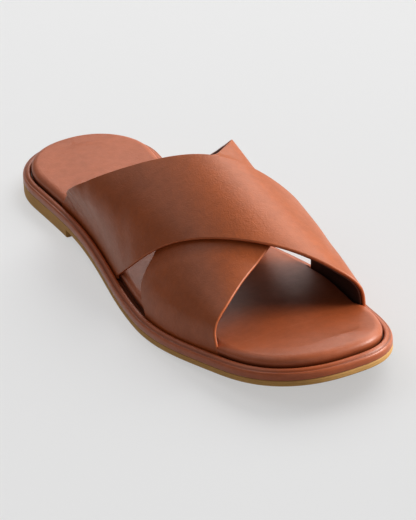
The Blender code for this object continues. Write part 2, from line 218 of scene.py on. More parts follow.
# How a strap's sheet is divided, crowned and settled on its seats, in shares of the way over the instep
STRAP_STEPS = 240
STRAP_COLUMNS = 54
OVERHANG_COLUMNS = 18
EDGE_STEPS = 7
STRAP_CROWN = 1.5 * MM
SEAT_BLEND = 0.25
TUCK_SHARES = (0.25, 0.6, 1.0)
LINING_INSET = 1.2 * MM

# Where the under strap is pressed against the other: clear of its seats, near it, and a little past its edges
SEAT_FREE = 0.2
JOIN_NEAR = 6 * MM
JOIN_FAR = 10 * MM
JOIN_REACH = 15 * MM

# Soft creases of the straps: where the middle of each lies, which way it runs in degrees from the strap's own
# run, its length and half width, and how deep it is. A negative depth is a ridge.
Crease = namedtuple("Crease", "reach share turn length width depth")
OVER_CREASES = list(map(Crease._make, (
    (0.055, 0.07, 62, 8 * MM, 1.2 * MM, 0.52 * MM),
    (0.074, 0.11, 66, 9 * MM, 1.1 * MM, -0.42 * MM),
    (0.092, 0.14, 70, 11 * MM, 1.2 * MM, 0.52 * MM),
    (0.114, 0.19, 74, 12 * MM, 1.3 * MM, -0.40 * MM),
    (0.136, 0.24, 76, 13 * MM, 1.4 * MM, 0.46 * MM),
    (0.165, 0.16, 80, 12 * MM, 1.5 * MM, -0.20 * MM),
    (0.150, 0.30, 78, 22 * MM, 3.4 * MM, 0.35 * MM),
    (0.210, 0.62, 84, 26 * MM, 4.2 * MM, 0.30 * MM),
    (0.860, 0.40, 96, 22 * MM, 3.2 * MM, 0.35 * MM),
    (0.800, 0.70, 100, 20 * MM, 3.0 * MM, 0.25 * MM),
)))
UNDER_CREASES = list(map(Crease._make, (
    (0.130, 0.50, 86, 24 * MM, 3.0 * MM, 0.30 * MM),
    (0.900, 0.35, 94, 22 * MM, 3.4 * MM, 0.35 * MM),
    (0.930, 0.70, 102, 14 * MM, 1.8 * MM, 0.22 * MM),
)))

# How far a crease fades at its ends, and how far it reaches through the sheet, in shares of its half width
CREASE_FADE = 2.0
CREASE_REACH = 6.0

# The leathers' finishes. grain_size is the number of grains along a metre, bump the depth of the grain, and
# the last how much lighter than the leather an edge is: rubbed light together with a painted highlight.
Finish = namedtuple("Finish", "roughness grain_size clouding wrinkling coat bump worn")
STRAP_FINISH = Finish(0.36, 1500.0, 0.42, 3.2, 0.30, 0.05 * MM, 1.60)
LINING_FINISH = Finish(0.42, 1900.0, 0.45, 2.0, 0.08, 0.06 * MM, 1.35)
RAND_FINISH = Finish(0.33, 1900.0, 0.40, 1.0, 0.45, 0.05 * MM, 1.35)
FOOTBED_FINISH = Finish(0.36, 1700.0, 0.40, 1.2, 0.28, 0.05 * MM, 1.35)

# What the leathers share, and what belongs to the gum and the floor. A cloud is a darker share of the colour,
# and so is the painted shade in grooves and creases. Leather edges are paler, partly rubbed and partly a
# painted highlight.
COAT_ROUGHNESS = 0.42
LEATHER_SPECULAR = 0.45
LEATHER_CLOUD = 0.74
LEATHER_PAINTED_SHADE = 0.18
RUB_AND_HIGHLIGHT_PALE = 0.045
LEATHER_RUB_AND_HIGHLIGHT = 0.65
PAINTED_SHADE_AMOUNT = 0.7
GUM_SPECULAR = 0.4
GUM_CLOUD = 0.72
GUM_WORN = 1.35
GUM_PAINTED_SHADE = 0.3
GUM_WEAR = 0.35
GUM_BUMP = 0.12 * MM
FLOOR_CLOUD = 0.985
FLOOR_GLOW = 0.405
FLOOR_HALF_WIDTH = 6.0

# The soft lights: where each hangs round the shoe, in degrees and metres, its size in metres, its power in
# watts and whether it lights the floor too
SoftLight = namedtuple("SoftLight", "name azimuth elevation distance width height watts lights_floor")
SOFT_LIGHTS = list(map(SoftLight._make, (
    ("key light", 116.0, 24.0, 1.7, 0.85, 0.60, 29.5, False),
    ("side panel", 68.0, 42.0, 1.7, 1.5, 1.5, 15.0, True),
    ("back light", 24.0, 32.0, 1.9, 1.2, 0.6, 4.4, True),
    ("left panel", -40.0, 50.0, 1.9, 1.6, 1.0, 4.4, True),
    ("front fill", -150.0, 28.0, 2.0, 1.6, 1.2, 3.4, True),
)))
LIGHTS_AIM = Vector((0.0, -0.10, 0.02))
WORLD_LIGHT = 0.16

# The camera keeps the photograph's place and turns a little to hold the whole shoe
CAMERA_AIM = Vector((0.0006, -0.1113, 0.0150))
CAMERA_AZIMUTH = math.radians(-27.59)
CAMERA_ELEVATION = math.radians(30.08)
CAMERA_ROLL = math.radians(-2.64)
CAMERA_DISTANCE = 1.2757
CAMERA_LENS = 249.3
CAMERA_SENSOR = 36.0


# What a user may change

def length(name, description, default):
    return FloatProperty(name=name, description=description, default=default, unit="LENGTH", precision=4,
                         min=0.0)


def colour(name, description, default):
    return FloatVectorProperty(name=name, description=description, default=default, subtype="COLOR", size=3,
                               min=0.0, max=1.0)


class SandalSizes(PropertyGroup):
    sole_length: length("Sole length", "From the heel's back edge to the toe", SOLE_HIGH[1] - SOLE_LOW[1])
    heel_seat: length("Heel seat", "From the heel's back edge to the middle of the heel", SOLE_HIGH[1])
    heel_width: length("Heel width", "Width of the sole at the heel", 67.5 * MM)
    waist_width: length("Waist width", "Width of the sole under the arch", 63 * MM)
    ball_width: length("Ball width", "Width of the sole at the ball of the foot", 90 * MM)
    toe_width: length("Toe width", "Width of the sole where the toes begin", 78.3 * MM)
    gum_thickness: length("Gum thickness", "Thickness of the outsole in front of the heel", 2.9 * MM)
    heel_height: length("Heel height", "Height of the heel block", 6.6 * MM)
    toe_spring: length("Toe spring", "How far the toe end rises from the floor", 11.3 * MM)
    rand_width: length("Rand width", "From the sole's edge in to the footbed", 4.2 * MM)
    rand_height: length("Rand height", "Height of the wrapped edge over the outsole", 4.1 * MM)
    footbed_wall: length("Footbed wall", "Straight part of the footbed's side over the rand", 1.2 * MM)
    footbed_roll: length("Footbed roll", "Height of the footbed's rolled edge", 2.8 * MM)
    footbed_round: length("Footbed round", "How far the rolled edge reaches in", 3.8 * MM)
    footbed_crown: length("Footbed crown", "How far the footbed's middle is raised", 0.9 * MM)
    leather_thickness: length("Leather thickness", "Thickness of the straps' outer leather", 1.5 * MM)
    lining_thickness: length("Lining thickness", "Thickness of the straps' lining", 0.88 * MM)
    instep_rise: length("Instep rise", "Rise of the straps over their seats", 52 * MM)


class SandalColours(PropertyGroup):
    strap: colour("Strap leather", "Outer leather of the straps", (0.424, 0.104, 0.023))
    # Darkened well below the strap leather to stand for the shade inside the straps: painted shade
    lining: colour("Lining leather", "Leather inside the straps", (0.110, 0.046, 0.030))
    rand: colour("Rand leather", "Leather wrapped round the midsole", (0.430, 0.100, 0.024))
    footbed: colour("Footbed leather", "Leather over the padded footbed", (0.415, 0.105, 0.032))
    gum: colour("Gum rubber", "Outsole and heel", (0.700, 0.395, 0.135))
    floor: colour("Floor", "Plain studio floor", (0.42, 0.42, 0.42))


# Curves through rows

def curve_through(places, values):
    """A natural cubic curve through the rows, as a function of the place."""
    x = np.array(places)
    y = np.array(values)
    step = np.diff(x)
    slope = np.diff(y) / step
    system = np.diag(2.0 * (step[:-1] + step[1:])) + np.diag(step[1:-1], 1) + np.diag(step[1:-1], -1)
    bend = np.pad(np.linalg.solve(system, 6.0 * np.diff(slope)), 1)

    def value(place):
        i = int(np.clip(np.searchsorted(x, place) - 1, 0, len(step) - 1))
        a = (x[i + 1] - place) / step[i]
        b = (place - x[i]) / step[i]
        straight = a * y[i] + b * y[i + 1]
        bent = ((a ** 3 - a) * bend[i] + (b ** 3 - b) * bend[i + 1]) * step[i] ** 2 / 6.0
        return float(straight + bent)

    return value


def smooth_step(value):
    """0 below 0, 1 above 1, with a soft passage between."""
    t = min(max(value, 0.0), 1.0)
    return t * t * (3.0 - 2.0 * t)


# The last: the sole's outline, levels and seats for the straps

def edge_rows(rows, edge):
    """The places across, the places along and the rises of a strap's rear or front edge, row by row."""
    return [[getattr(row, edge + part) for row in rows] for part in ("_across", "_back", "_rise")]


class Last:
    """The shape that the pieces are built on, made from the sizes."""

    def __init__(self, size):
        self.size = size
        places = [row.along for row in OUTLINE]
        self.width = curve_through(places, [row.share * getattr(size, row.of) for row in OUTLINE])
        self.lateral = curve_through(places, [row.lateral for row in OUTLINE])
        self.footbed_height = size.footbed_wall + size.footbed_roll
        self.strap_thickness = size.leather_thickness + size.lining_thickness
        self.shares = self.stations()
        self.loop = [(share, LATERAL) for share in self.shares]
        self.loop += [(share, MEDIAL) for share in reversed(self.shares[1:-1])]
        self.points = [self.outline(share, side) for share, side in self.loop]
        self.inwards = [self.inward(index) for index in range(len(self.loop))]

    def end_round(self, along):
        """How much of the width is left near the round heel and toe."""
        if along < HEEL_ROUND_END:
            depth, squareness = (HEEL_ROUND_END - along) / HEEL_ROUND_END, HEEL_SQUARENESS
        elif along > TOE_ROUND_START:
            depth, squareness = (along - TOE_ROUND_START) / (1.0 - TOE_ROUND_START), TOE_SQUARENESS
        else:
            return 1.0
        return max(0.0, 1.0 - depth ** squareness) ** (1.0 / squareness)

    def outline(self, along, side):
        """A point of the sole's outline, seen from above."""
        share = self.lateral(along) if side == LATERAL else 1.0 - self.lateral(along)
        shift = TOE_SHIFT * (max(0.0, along - TOE_SHIFT_START) / (1.0 - TOE_SHIFT_START)) ** 2
        x = shift + side * self.width(along) * share * self.end_round(along)
        return Vector((x, self.size.heel_seat - along * self.size.sole_length, 0.0))

    def gum_top(self, along):
        """Height of the outsole's upper side: level over the heel, falling to the ball, rising to the toe."""
        thin = self.size.gum_thickness
        if along <= HEEL_BREAST:
            return self.size.heel_height
        if along <= BALL_FLAT_START:
            fall = smooth_step((along - HEEL_BREAST) / (BALL_FLAT_START - HEEL_BREAST))
            return self.size.heel_height + (thin - self.size.heel_height) * fall
        if along <= BALL_FLAT_END:
            return thin
        rise = (along - BALL_FLAT_END) / (1.0 - BALL_FLAT_END)
        return thin + self.size.toe_spring * rise ** SPRING_POWER

    def underside(self, along):
        """Height of the outsole's lower side: the heel block stands on the floor up to its breast."""
        if along < HEEL_BREAST:
            return 0.0
        return self.gum_top(along) - self.size.gum_thickness

    def rand_foot(self, along):
        """Level of the rand's lower side, just over the gum."""
        return self.gum_top(along) + RAND_GAP

    def crease(self, along):
        """Level of the crease between rand and footbed, where the straps go down."""
        return self.gum_top(along) + CLEARANCE + self.size.rand_height

    def tray_floor(self, along):
        """Level of the midsole's tray, in which the footbed lies."""
        return self.crease(along) - TRAY_DEPTH

    def strap_window(self, strap, side, lift):
        """Where a strap passes the footbed on one side of the sole, and how far it leans in over it there.
        lift is the height on the footbed's side, as a share of the footbed's height over the crease."""
        seat_and_above = strap[:2] if side == LATERAL else strap[-1:-3:-1]
        ends = []
        lean = 0.0
        for edge in ("rear", "front"):
            across, back, rise = edge_rows(seat_and_above, edge)
            share = lift * self.footbed_height / (rise[1] * self.size.instep_rise)
            ends.append(back[0] + (back[1] - back[0]) * share)
            lean = max(lean, (across[0] - across[1]) * share * side * self.size.ball_width)
        return (*ends, lean)

    def strap_relief(self, lift):
        """How far the footbed's side is pulled in to let the straps down beside it, by the place."""
        ease = TUCK_EASE / self.size.sole_length
        windows = {side: [self.strap_window(strap, side, lift) for strap in (OVER_STRAP, UNDER_STRAP)]
                   for side in (LATERAL, MEDIAL)}

        def relief(along, side):
            first = min(start for start, _, _ in windows[side])
            last = max(end for _, end, _ in windows[side])
            most = GAP_TUCK * smooth_step(min((along - first) / ease, (last - along) / ease))
            for start, end, lean in windows[side]:
                window = min((along - start) / ease - REAR_DELAY, (end - along) / ease - FRONT_DELAY)
                most = max(most, smooth_step(window) * (self.strap_thickness + TUCK_ROOM + lean))
            return most

        return relief

    def strap_berth(self, along, side):
        """How much further the footbed's rolled edge reaches in beside a strap, so its top stays one line."""
        ease = BERTH_EASE / self.size.sole_length
        most = 0.0
        for strap in (OVER_STRAP, UNDER_STRAP):
            start, end, lean = self.strap_window(strap, side, 1.0)
            window = smooth_step(min((along - start) / ease + 1.0, (end - along) / ease + 1.0))
            room = self.strap_thickness + TUCK_ROOM + lean + BERTH_ROOM - self.size.footbed_round
            most = max(most, window * room)
        return most

    def stations(self):
        """Places of the cross sections, closer together at the round ends, at the heel breast, at the seam
        and at the ends of the straps' seats."""
        turns = [math.pi * i / SOLE_STATIONS for i in range(SOLE_STATIONS + 1)]
        shares = {round(0.5 - 0.5 * math.cos(turn), 5) for turn in turns}
        extra = [HEEL_BREAST + k * BREAST_STEP for k in BREAST_PLACES]
        extra += [RAND_SEAM + k * SEAM_STEP for k in SEAM_PLACES]
        ease = TUCK_EASE / self.size.sole_length
        for strap in (OVER_STRAP, UNDER_STRAP):
            for side in (LATERAL, MEDIAL):
                for lift in (0.0, 1.0):
                    for place in self.strap_window(strap, side, lift)[:2]:
                        extra += [place + k * ease for k in SEAT_PLACES]
        for place in extra:
            if all(abs(place - other) > LEAST_STEP for other in shares):
                shares.add(place)
        return sorted(shares)

    def inward(self, index):
        """Direction from the outline towards the middle of the sole, at one point of the loop."""
        before = self.points[index - 1]
        after = self.points[(index + 1) % len(self.points)]
        along = (after - before).normalized()
        return Vector((-along.y, along.x, 0.0))

    def rim(self, inset, level, up=0.0):
        """A closed line of points that follows the outline. inset is a number or a function of the place,
        level a height along the sole, and up how far over it the line lies."""
        line = []
        for (along, side), point, direction in zip(self.loop, self.points, self.inwards):
            distance = inset(along, side) if callable(inset) else inset
            place = point + direction * distance
            line.append(Vector((place.x, place.y, level(along) + up)))
        return line

    def seat(self, along, side, drop=0.0):
        """A point of the crease line, where a strap's outer face meets the rand, or one that far under it."""
        tangent = self.outline(along + TANGENT_STEP, side) - self.outline(along - TANGENT_STEP, side)
        tangent.normalize()
        direction = Vector((tangent.y, -tangent.x, 0.0)) * side
        place = self.outline(along, side) + direction * self.size.rand_width
        return Vector((place.x, place.y, self.crease(along) - drop))

    def strap_seat(self, row, side, share, drop=0.0):
        """A point of a strap's seat, that share of the way from the strap's rear to its front edge."""
        return self.seat(row.rear_back + (row.front_back - row.rear_back) * share, side, drop)


# Mesh helpers

def new_object(name, mesh):
    """An object in the scene from a bmesh."""
    data = bpy.data.meshes.new(name)
    mesh.to_mesh(data)
    mesh.free()
    made = bpy.data.objects.new(name, data)
    bpy.context.scene.collection.objects.link(made)
    return made


def new_piece(name, mesh, wear, deep):
    """A closed smooth piece from a bmesh, with two marks on its points: rubbed light with a painted highlight,
    and painted shade.
    """
    bmesh.ops.recalc_face_normals(mesh, faces=mesh.faces)
    piece = new_object(name, mesh)
    for mark, values in (("wear", wear), ("deep", deep)):
        piece.data.attributes.new(mark, "FLOAT", "POINT").data.foreach_set("value", values)
    piece.data.shade_smooth()
    return piece


def bridge(mesh, rings):
    """Faces between closed rings of points that follow each other."""
    for first, second in zip(rings, rings[1:]):
        for i in range(len(first)):
            j = (i + 1) % len(first)
            mesh.faces.new((first[i], first[j], second[j], second[i]))


def stacked_rims(name, last, rims, crown=0.0, columns=1):
    """A closed solid between rims that lie over each other, with a lid across each end. Each rim is a line of
    points with its mark of rubbed light and painted highlight and its mark of painted shade. The upper lid is
    split into columns and rises to the crown."""
    mesh = bmesh.new()
    levels = [[mesh.verts.new(point) for point in line] for line, _, _ in rims]
    wear = [worn for line, worn, _ in rims for _ in line]
    deep = [shade_share for line, _, shade_share in rims for _ in line]
    bridge(mesh, levels)

    def lid(line, parts, height):
        rows = []
        for i in range(len(last.shares)):
            left = line[i]
            right = line[(len(line) - i) % len(line)]
            if left is right:
                rows.append([left])
                continue
            row = [left]
            for part in range(1, parts):
                share = 0.5 - 0.5 * math.cos(math.pi * part / parts)
                width = (right.co - left.co).length
                full = (4.0 * share * (1.0 - share)) ** CROWN_FULLNESS
                bulge = height * full * smooth_step(width / last.size.waist_width)
                row.append(mesh.verts.new(left.co.lerp(right.co, share) + Vector((0.0, 0.0, bulge))))
                wear.append(0.0)
                deep.append(0.0)
            row.append(right)
            rows.append(row)
        for first, second in zip(rows, rows[1:]):
            for k in range(max(len(first), len(second)) - 1):
                corners = [row[min(place, len(row) - 1)]
                           for row, place in ((first, k), (second, k), (second, k + 1), (first, k + 1))]
                mesh.faces.new(tuple(dict.fromkeys(corners)))

    lid(levels[0], 1, 0.0)
    lid(levels[-1], columns, crown)
    return new_piece(name, mesh, wear, deep)


# The straps' sheets

def strap_edge(last, table, edge):
    """The line of a strap's rear or front edge, by the reach from the lateral to the medial seat."""
    size = last.size
    reach = [row.reach for row in table]
    rows = edge_rows(table, edge)
    across, back, rise = (curve_through(reach, row) for row in rows)
    start = last.seat(rows[1][0], LATERAL)
    end = last.seat(rows[1][-1], MEDIAL)
    start_gap = start.x - rows[0][0] * size.ball_width
    end_gap = end.x - rows[0][-1] * size.ball_width

    def point(place):
        x = across(place) * size.ball_width + start_gap * (1.0 - place) + end_gap * place
        y = size.heel_seat - back(place) * size.sole_length
        z = start.z + (end.z - start.z) * place + rise(place) * size.instep_rise
        return Vector((x, y, z))

    return point


def strap_sheet(last, table, overhang=0):
    """Rows of points over a strap's outer face. With an overhang the sheet also runs past its two edges."""
    rear = strap_edge(last, table, "rear")
    front = strap_edge(last, table, "front")
    rows = []
    for i in range(STRAP_STEPS + 1):
        reach = i / STRAP_STEPS
        row = []
        for j in range(-overhang, STRAP_COLUMNS + overhang + 1):
            share = j / STRAP_COLUMNS
            place = rear(reach).lerp(front(reach), share)
            crown = STRAP_CROWN * 4.0 * share * (1.0 - share) * math.sin(math.pi * reach)
            row.append(place + Vector((0.0, 0.0, crown)))
        rows.append(row)
    settle_on_seats(last, table, rows, overhang)
    return rows


def settle_on_seats(last, table, rows, overhang):
    """Bend the first and last rows to the curved crease line, fading out over the way up."""
    for side, end_row, seat_index in ((LATERAL, table[0], 0), (MEDIAL, table[-1], len(rows) - 1)):
        seat_line = rows[seat_index]
        moves = []
        for j in range(len(seat_line)):
            share = min(max((j - overhang) / STRAP_COLUMNS, 0.0), 1.0)
            straight = seat_line[overhang].lerp(seat_line[overhang + STRAP_COLUMNS], share)
            moves.append(last.strap_seat(end_row, side, share) - straight)
        for i, row in enumerate(rows):
            weight = 1.0 - smooth_step(abs(i - seat_index) / STRAP_STEPS / SEAT_BLEND)
            for j in range(len(row)):
                row[j] = row[j] + moves[j] * weight


def press_against(rows, cover, thickness):
    """Press the under strap's sheet against the inside of the strap that crosses over it."""
    points = [point for row in cover for point in row]
    columns = len(cover[0])
    quads = [(a, a + 1, a + columns + 1, a + columns)
             for i in range(len(cover) - 1) for a in range(i * columns, (i + 1) * columns - 1)]
    tree = BVHTree.FromPolygons(points, quads)
    rear_line = OVERHANG_COLUMNS
    front_line = OVERHANG_COLUMNS + STRAP_COLUMNS
    for i, row in enumerate(rows):
        seat_weight = smooth_step(min(i, len(rows) - 1 - i) / (SEAT_FREE * STRAP_STEPS))
        for j, point in enumerate(row):
            place, normal, index, _ = tree.find_nearest(point)
            if normal.z < 0.0:
                normal = -normal
            line = cover[index // (columns - 1)]
            past = 0.0
            for edge, beside in ((rear_line, rear_line + 1), (front_line, front_line - 1)):
                past = max(past, (place - line[edge]).dot((line[edge] - line[beside]).normalized()))
            apart = (point - place).length
            near = 1.0 - smooth_step((apart - JOIN_NEAR) / (JOIN_FAR - JOIN_NEAR))
            weight = seat_weight * near * (1.0 - smooth_step(past / JOIN_REACH))
            row[j] = point.lerp(place - normal * thickness, weight)


def sheet_normals(grid):
    """Outward directions over a grid of points."""
    normal = np.cross(np.gradient(grid, axis=0), np.gradient(grid, axis=1))
    normal /= np.linalg.norm(normal, axis=2, keepdims=True)
    middle = normal[grid.shape[0] // 2, grid.shape[1] // 2]
    return normal if middle[2] > 0.0 else -normal


def square_to(way, up):
    """A direction turned square to another and brought to unit length."""
    way = way - up * way.dot(up)
    return way / np.linalg.norm(way)


def press_creases(grid, creases):
    """Soft troughs and ridges, each round a short straight line on the sheet."""
    normal = sheet_normals(grid)
    steps = grid.shape[0] - 1
    columns = grid.shape[1] - 1
    move = np.zeros(grid.shape[:2])
    for crease in creases:
        i = int(round(crease.reach * steps))
        j = int(round(crease.share * columns))
        up = normal[i, j]
        run = square_to(grid[min(i + 1, steps), j] - grid[max(i - 1, 0), j], up)
        turn = math.radians(crease.turn)
        way = run * math.cos(turn) + np.cross(up, run) * math.sin(turn)
        apart = grid - grid[i, j]
        past = np.maximum(np.abs(apart @ way) - crease.length / 2.0, 0.0) / (CREASE_FADE * crease.width)
        beside = (apart @ np.cross(up, way)) / crease.width
        far = (apart @ up) / (CREASE_REACH * crease.width)
        move += crease.depth * np.exp(-past ** 2 - beside ** 2 - far ** 2)
    return grid - normal * move[:, :, None]


def tuck(last, end_row, side):
    """Rows of points that run a strap's end down beside the footbed, to just over the tray's floor."""
    deepest = TRAY_DEPTH - 2.0 * CLEARANCE
    return np.array([
        [last.strap_seat(end_row, side, j / STRAP_COLUMNS, deepest * share) for j in range(STRAP_COLUMNS + 1)]
        for share in TUCK_SHARES
    ])


def round_edge(corner, way, up, radius):
    """Points round a band's edge, from its outer to its inner face, each with its rubbing and painted
    highlight.
    """
    way = square_to(way, up)
    points = []
    for step in range(1, EDGE_STEPS):
        turn = math.pi * (0.5 - step / EDGE_STEPS)
        over = radius * math.sin(turn) - radius
        points.append((corner + way * (radius * math.cos(turn)) + up * over, math.cos(turn)))
    return points


def band(name, grid, depth, thickness, inset):
    """A leather band with round edges, lying under a sheet. depth is how far under the sheet its face lies,
    and inset how far its edges stay back from the sheet's edges."""
    normal = sheet_normals(grid)
    columns = grid.shape[1]
    radius = thickness / 2.0
    shares = 0.5 - 0.5 * np.cos(math.pi * np.arange(columns) / (columns - 1))
    mesh = bmesh.new()
    rings = []
    wear = []
    for line, line_up in zip(grid, normal):
        length = np.concatenate(([0.0], np.cumsum(np.linalg.norm(np.diff(line, axis=0), axis=1))))
        place = inset + radius + shares * (length[-1] - 2.0 * (inset + radius))
        face, up = (np.stack([np.interp(place, length, part[:, k]) for k in range(3)], axis=1)
                    for part in (line, line_up))
        up /= np.linalg.norm(up, axis=1, keepdims=True)
        outer = face - up * depth
        inner = outer - up * thickness
        section = [(point, 0.0) for point in outer]
        section += round_edge(outer[-1], line[-1] - line[-2], up[-1], radius)
        section += [(point, 0.0) for point in inner[::-1]]
        section += round_edge(outer[0], line[0] - line[1], up[0], radius)[::-1]
        rings.append([mesh.verts.new(Vector(point)) for point, _ in section])
        # The round edges are marked with rubbed light together with a painted highlight, most at their middle
        wear += [mark for _, mark in section]
    bridge(mesh, rings)
    mesh.faces.new(rings[0])
    mesh.faces.new(rings[-1][::-1])
    return new_piece(name, mesh, wear, [0.0] * len(wear))


# Node helpers. An input is a plain value, or another node's output to follow.

def set_inputs(tree, node, inputs):
    """Give a node's inputs, by name or number, their values and links."""
    for key, value in inputs.items():
        if isinstance(value, bpy.types.NodeSocket):
            tree.links.new(value, node.inputs[key])
        else:
            node.inputs[key].default_value = value


def add_node(tree, kind, inputs=None, **settings):
    """A node with its settings and its inputs."""
    node = tree.nodes.new(kind)
    for key, value in settings.items():
        setattr(node, key, value)
    set_inputs(tree, node, inputs or {})
    return node


def noise(tree, place, scale, detail, roughness=0.5, distortion=0.0):
    """Noise over the surface, from 0 to 1."""
    values = {"Vector": place, "Scale": scale, "Detail": detail, "Roughness": roughness,
              "Distortion": distortion}
    return add_node(tree, "ShaderNodeTexNoise", values).outputs["Fac"]


def spread(tree, value, low, high, to_low=0.0, to_high=1.0):
    """A value stretched from one range to another and held inside it."""
    values = {"Value": value, "From Min": low, "From Max": high, "To Min": to_low, "To Max": to_high}
    return add_node(tree, "ShaderNodeMapRange", values).outputs["Result"]


def reckon(tree, operation, *terms):
    """The result of a sum or product."""
    return add_node(tree, "ShaderNodeMath", dict(enumerate(terms)), operation=operation).outputs["Value"]


def blend_colours(tree, factor, first, second, blend_type="MIX"):
    """Two colours mixed by a factor."""
    values = {"Factor": factor, 6: first, 7: second}
    return add_node(tree, "ShaderNodeMix", values, data_type="RGBA", blend_type=blend_type).outputs[2]


def bumped(tree, height, strength, distance):
    """The surface's direction over a height."""
    values = {"Strength": strength, "Distance": distance, "Height": height}
    return add_node(tree, "ShaderNodeBump", values).outputs["Normal"]


def shared_group(name, inputs, fill):
    """The node group of that name, made the first time that a material asks for it. inputs gives each input's
    kind, and fill adds the nodes and tells what each output follows."""
    if name in bpy.data.node_groups:
        return bpy.data.node_groups[name]
    group = bpy.data.node_groups.new(name, "ShaderNodeTree")
    for label, kind in inputs.items():
        group.interface.new_socket(name=label, in_out="INPUT", socket_type="NodeSocket" + kind)
    made = fill(group, group.nodes.new("NodeGroupInput").outputs)
    for label, value in made.items():
        kind = "NodeSocketColor" if value.type == "RGBA" else "NodeSocketFloat"
        group.interface.new_socket(name=label, in_out="OUTPUT", socket_type=kind)
    add_node(group, "NodeGroupOutput", made)
    return group


# Materials

GRAIN_INPUTS = {
    "Vector": "Vector", "Colour": "Color", "Dark": "Color", "Clouding": "Float", "Grain size": "Float",
    "Wrinkling": "Float", "Roughness": "Float",
}
EDGE_INPUTS = {
    "Vector": "Vector", "Colour": "Color", "Worn colour": "Color", "Groove colour": "Color", "Wear": "Float",
    "Depth": "Float", "Wear amount": "Float", "Groove amount": "Float",
}


def leather_grain(group, given):
    """Clouded colour, uneven gloss and a fine pebbled grain with pores, shared by every leather."""
    place = given["Vector"]
    cloud = noise(group, place, 55.0, 4.0, 0.55)
    streak = noise(group, place, 260.0, 3.0, 0.6)
    wrinkles = noise(group, place, 330.0, 4.0, 0.6, 1.4)
    fine = noise(group, place, given["Grain size"], 3.0, 0.6)
    cells = add_node(group, "ShaderNodeTexVoronoi", {"Vector": place, "Scale": given["Grain size"]},
                     feature="F1").outputs["Distance"]
    mottle = spread(group, streak, 0.35, 0.65)
    both = reckon(group, "MULTIPLY_ADD", mottle, 0.9, spread(group, cloud, 0.32, 0.68))
    amount = reckon(group, "MULTIPLY", both, given["Clouding"])
    tone = blend_colours(group, amount, given["Colour"], given["Dark"])
    pores = spread(group, cells, 0.0, 0.32, 0.86, 1.0)
    pebbles = reckon(group, "MULTIPLY_ADD", cells, 0.6, fine)
    return {
        "Colour": blend_colours(group, 1.0, tone, pores, "MULTIPLY"),
        "Roughness": reckon(group, "MULTIPLY_ADD", streak, 0.16, given["Roughness"]),
        "Height": reckon(group, "MULTIPLY_ADD", wrinkles, given["Wrinkling"], pebbles),
    }


def edge_tone(group, given):
    """Rubbed light on the proud edges, on the leathers together with a painted highlight, and painted shade in
    the grooves and creases, shared by the leathers and the gum.
    """
    patches = spread(group, noise(group, given["Vector"], 340.0, 3.0, 0.6), 0.3, 0.65, 0.45, 1.0)
    worn = reckon(group, "MULTIPLY", given["Wear"], patches)
    highlight_and_rub_mix = reckon(group, "MULTIPLY", worn, given["Wear amount"])
    shade_share = reckon(group, "MULTIPLY", given["Depth"], given["Groove amount"])
    light = blend_colours(group, highlight_and_rub_mix, given["Colour"], given["Worn colour"])
    return {"Colour": blend_colours(group, shade_share, light, given["Groove colour"])}


def edge_toned(tree, place, colour, rub_and_highlight_colour, painted_shade_colour, rub_and_highlight_amount):
    """A colour with the edge tone on it, by the piece's marks of rubbed light with painted highlight and of
    painted shade.
    """
    wear, deep = (add_node(tree, "ShaderNodeAttribute", attribute_name=mark).outputs["Fac"]
                  for mark in ("wear", "deep"))
    values = {"Vector": place, "Colour": colour, "Worn colour": rub_and_highlight_colour, "Groove colour": painted_shade_colour,
              "Wear": wear, "Depth": deep, "Wear amount": rub_and_highlight_amount, "Groove amount": PAINTED_SHADE_AMOUNT}
    group = shared_group("edge tone", EDGE_INPUTS, edge_tone)
    return add_node(tree, "ShaderNodeGroup", values, node_tree=group).outputs["Colour"]


def toned(tint, factor=1.0, pale=0.0):
    """A colour made darker or lighter, and paler."""
    return tuple(min(1.0, part * factor + pale) for part in tint) + (1.0,)


def new_material(name):
    """A material, its nodes and the place on the object that its textures follow."""
    material = bpy.data.materials.new(name)
    material.use_nodes = True
    tree = material.node_tree
    return material, tree, add_node(tree, "ShaderNodeTexCoord").outputs["Object"]


def leather_material(name, tint, finish):
    """Smooth finished leather: clouded colour, fine grain, edges lightened by rubbing and by a painted
    highlight, and painted shade in the grooves and creases.
    """
    material, tree, place = new_material(name)
    grain = add_node(tree, "ShaderNodeGroup", {
        "Vector": place,
        "Colour": toned(tint),
        "Dark": toned(tint, LEATHER_CLOUD),
        "Clouding": finish.clouding,
        "Wrinkling": finish.wrinkling,
        "Grain size": finish.grain_size,
        "Roughness": finish.roughness,
    }, node_tree=shared_group("leather grain", GRAIN_INPUTS, leather_grain)).outputs
    set_inputs(tree, tree.nodes["Principled BSDF"], {
        "Base Color": edge_toned(tree, place, grain["Colour"], toned(tint, finish.worn, RUB_AND_HIGHLIGHT_PALE),
                                 toned(tint, LEATHER_PAINTED_SHADE), LEATHER_RUB_AND_HIGHLIGHT),
        "Roughness": grain["Roughness"],
        "Normal": bumped(tree, grain["Height"], 1.0, finish.bump),
        "Specular IOR Level": LEATHER_SPECULAR,
        "Coat Weight": finish.coat,
        "Coat Roughness": COAT_ROUGHNESS,
    })
    return material


